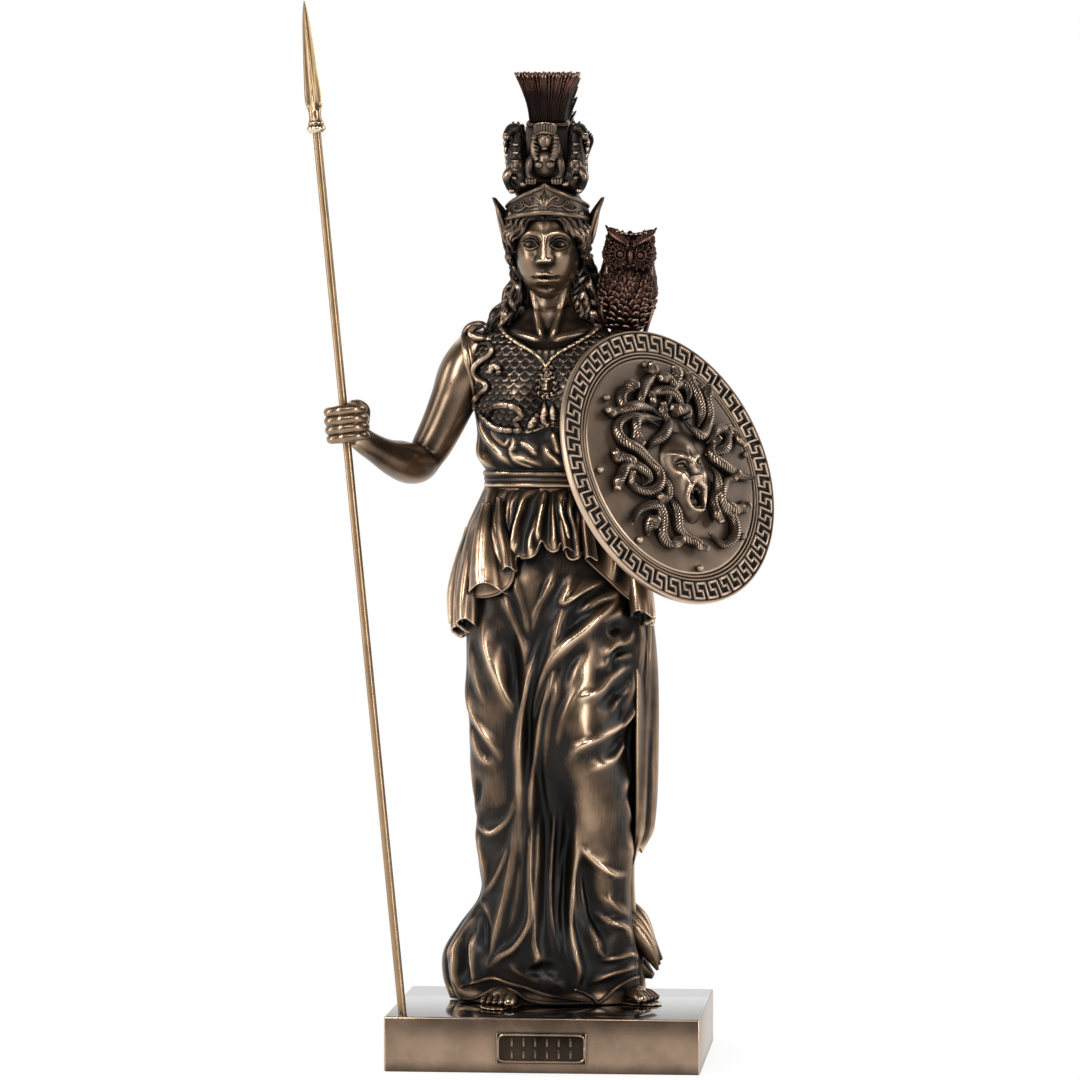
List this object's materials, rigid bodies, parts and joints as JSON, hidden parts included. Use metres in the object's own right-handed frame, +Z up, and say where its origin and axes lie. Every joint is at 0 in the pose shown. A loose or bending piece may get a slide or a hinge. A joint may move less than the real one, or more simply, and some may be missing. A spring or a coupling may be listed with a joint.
{
  "type": "athena statuette",
  "caption": "Bronze-finished statuette of Athena in crested helmet and long gown, holding a spear and a gorgon shield, an owl on the shoulder, standing on a plain block plinth.",
  "frame": {"origin": "centre of the plinth's flat underside", "axes": "+Z up, +X to the statuette's left hand, the shield's side, and -Y the way the figure faces"},
  "size_m": [0.1424, 0.0847, 0.3278],
  "materials": {
    "cast_bronze": "resin filled with bronze powder, polished on its high parts, with black-brown patina in its hollows",
    "satin_bronze": "smooth bronze-filled resin with a satin polish",
    "red_bronze": "bronze-filled resin with a dark reddish patina",
    "spear_bronze": "satin brass-coloured rod"
  },
  "bodies": {
    "root": {"plinth": "satin_bronze", "figure": "cast_bronze", "shield": "satin_bronze", "owl": "red_bronze", "spear_shaft": "spear_bronze", "spear_head": "spear_bronze"}
  },
  "joints": []
}
